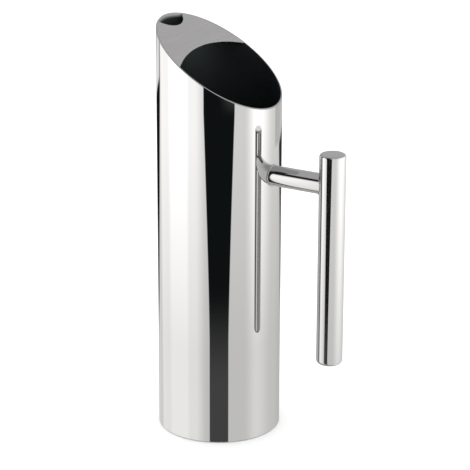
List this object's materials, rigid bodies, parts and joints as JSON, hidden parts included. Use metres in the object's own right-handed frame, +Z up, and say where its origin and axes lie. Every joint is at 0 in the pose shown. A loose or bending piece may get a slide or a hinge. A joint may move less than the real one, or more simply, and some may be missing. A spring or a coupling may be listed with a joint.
{
  "type": "water pitcher",
  "caption": "Tall cylindrical steel water pitcher with a slanted mouth, an ice guard with a pouring notch, and a T-shaped tubular handle.",
  "frame": {"origin": "centre of the base's underside, on the body's axis", "axes": "+Z up along the body, +X towards the handle, -X towards the spout, so XZ is the plane of symmetry"},
  "size_m": [0.1392, 0.085, 0.288],
  "materials": {
    "polished_steel": "polished",
    "satin_steel": "satin",
    "weld_steel": "satin"
  },
  "bodies": {
    "root": {"body_wall": "polished_steel", "base_disc": "satin_steel", "base_weld": "weld_steel", "ice_guard": "satin_steel", "guard_weld": "weld_steel", "handle_arm": "polished_steel", "arm_weld": "weld_steel", "grip_tube": "polished_steel", "grip_weld": "weld_steel", "grip_top_cap": "polished_steel", "grip_bottom_cap": "polished_steel"}
  },
  "joints": []
}
